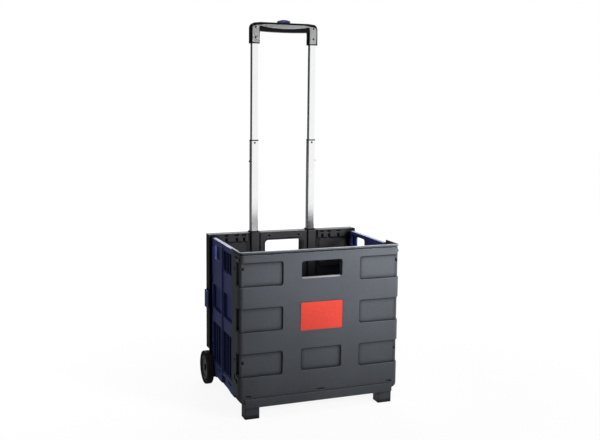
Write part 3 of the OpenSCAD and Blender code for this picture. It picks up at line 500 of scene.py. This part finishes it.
# colour and roughness
METALS = {
    "tube_aluminium": ((0.94, 0.945, 0.95), 0.20),
    "pin_steel": ((0.60, 0.61, 0.62), 0.3),
    "dark_fasteners": ((0.05, 0.05, 0.052), 0.4),
}
TYRE_BLACK = (0.016, 0.016, 0.017)


def make_materials():
    mats = {name: plastic(name, **look) for name, look in PLASTICS.items()}
    for name, (colour, rough) in METALS.items():
        mats[name] = drawn_metal(name, colour, rough)
    mats["tyre_rubber"] = rubber("tyre_rubber", TYRE_BLACK)
    return mats


def dress_nodes(mats):
    """Each CAD node takes its slot's material; the grip's body has a black of its own."""
    for part in frame["record"]["subparts"]:
        obj = NODES[part["node"]]
        finish = "grip_black" if part["node"] == "grip_body" else part["material_slot"]
        if not obj.material_slots:
            obj.data.materials.append(None)
        for slot in obj.material_slots:
            slot.material = mats[finish]


# ---------------------------------------------------------------- fine pieces


def finished(name, bm, slot, body, mats):
    """Turns a bmesh into a piece that rides on a body and takes a material slot's finish."""
    bmesh.ops.recalc_face_normals(bm, faces=bm.faces)
    obj = add_object(name, bm)
    obj.data.materials.append(mats[slot])
    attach(obj, body)
    return obj


SCREW_RADIUS, SHANK_RADIUS, HEAD_HEIGHT = 0.0025, 0.0014, 0.0012
SCREW_STEPS = 48
# the recess, in shares of the head: half a slot's width, its length, its depth, its taper
SLOT_HALF, SLOT_REACH, SLOT_DEPTH, SLOT_TAPER = 0.13, 0.62, 0.55, 0.8
# the head's dome: the flat top's radius, then radius and drop of its rim
TOP_RADIUS, RIM_RADIUS, RIM_DROP, SIDE_DROP = 0.74, 0.90, 0.10, 0.36


def circle(radius):
    turns = [2 * math.pi * k / SCREW_STEPS for k in range(SCREW_STEPS)]
    return [(radius * math.cos(a), radius * math.sin(a)) for a in turns]


def ring(bm, place, outline, depth):
    """Vertices along an (x, z) outline, at a depth behind a place."""
    return [bm.verts.new(place + Vector((x, depth, z))) for x, z in outline]


def bridge(bm, near, far):
    """Faces between two rings with the same number of vertices."""
    for k in range(len(near)):
        j = (k + 1) % len(near)
        bm.faces.new((near[k], near[j], far[j], far[k]))


def cross_outline():
    """The outline of a cross recess, three corners to a quarter."""
    half, reach = SCREW_RADIUS * SLOT_HALF, SCREW_RADIUS * SLOT_REACH
    corners = ((reach, -half), (reach, half), (half, half))
    quarters = ((1, 0), (0, 1), (-1, 0), (0, -1))
    return [(c * u - s * v, s * u + c * v) for c, s in quarters for u, v in corners]


def screw(bm, place, length):
    """Pan-head screw along +Y with a cross recess; place is the middle of the head's top."""
    cross = cross_outline()
    pit_depth = HEAD_HEIGHT * SLOT_DEPTH
    top = ring(bm, place, circle(SCREW_RADIUS * TOP_RADIUS), 0)
    lip = ring(bm, place, cross, 0)
    pit = ring(bm, place, [(x * SLOT_TAPER, z * SLOT_TAPER) for x, z in cross], pit_depth)
    pairs = [pair for loop in (top, lip) for pair in zip(loop, loop[1:] + loop[:1])]
    edges = [bm.edges.new(pair) for pair in pairs]
    bmesh.ops.triangle_fill(bm, use_beauty=True, edges=edges)
    bridge(bm, lip, pit)
    bm.faces.new(pit)
    profile = (
        (SCREW_RADIUS * RIM_RADIUS, HEAD_HEIGHT * RIM_DROP),
        (SCREW_RADIUS, HEAD_HEIGHT * SIDE_DROP),
        (SCREW_RADIUS, HEAD_HEIGHT),
        (SHANK_RADIUS, HEAD_HEIGHT),
        (SHANK_RADIUS, length),
    )
    rings = [top] + [ring(bm, place, circle(radius), y) for radius, y in profile]
    for near, far in zip(rings, rings[1:]):
        bridge(bm, near, far)
    bm.faces.new(rings[-1])


def make_screws(mats):
    """The four screws of the grip's front plate, with cross recesses."""
    low, high = node_box("grip_screws")
    bm = bmesh.new()
    for x in (low.x + SCREW_RADIUS, high.x - SCREW_RADIUS):
        for z in (low.z + SCREW_RADIUS, high.z - SCREW_RADIUS):
            screw(bm, Vector((x, low.y, z)), high.y - low.y)
    screws = finished("grip_cross_screws", bm, "dark_fasteners", "handle", mats)
    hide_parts("grip_screws")


# the tray's rows of recesses: the first one's middle below the rim, and the spacing
FIRST_ROW, ROW_PITCH = 0.054, 0.1085
# webs: far and near end from the tray's side, front and back from its face, half the height,
# and the width of the broken edges
WINDOW_WEB = (0.0160, 0.0024, 0.0334, 0.0350, 0.031, 0.0006)
SQUARE_WEB = (0.0120, 0.0024, 0.0066, 0.0080, 0.0075, 0.0003)
# the small squares' middles above the middles of the first and the last row
UPPER_SQUARE, LOWER_SQUARE = 0.014, 0.007


def add_web(bm, low, high, edge):
    """A thin moulded web with broken edges."""
    verts = bmesh.ops.create_cube(bm, size=1)["verts"]
    for v in verts:
        v.co = Vector(high[i] if v.co[i] > 0 else low[i] for i in range(3))
    edges = list({e for v in verts for e in v.link_edges})
    bmesh.ops.bevel(bm, geom=edges, offset=edge, segments=2, affect="EDGES", profile=0.6)


def make_corner_webs(mats):
    """Webs inside the tray's corners: one behind each flank window and each small square."""
    low, high = node_box("front_tray")
    tray_x, face = high.x - LUG_PROUD, low.y + BAND_PROUD
    rows = [high.z - FIRST_ROW - ROW_PITCH * k for k in range(3)]
    webs = [(z, WINDOW_WEB) for z in rows]
    webs += [(rows[0] + UPPER_SQUARE, SQUARE_WEB), (rows[2] + LOWER_SQUARE, SQUARE_WEB)]
    bm = bmesh.new()
    for side in (-1, 1):
        for z, (inner, outer, front, back, half, edge) in webs:
            x0, x1 = sorted((side * (tray_x - inner), side * (tray_x - outer)))
            add_web(bm, (x0, face + front, z - half), (x1, face + back, z + half), edge)
    finished("corner_webs", bm, "slate_plastic", "tray", mats)


make_camera()
make_world()
make_lamps()
make_floor()
MATS = make_materials()
dress_nodes(MATS)
make_screws(MATS)
make_corner_webs(MATS)
bpy.context.scene.view_settings.view_transform = "Standard"
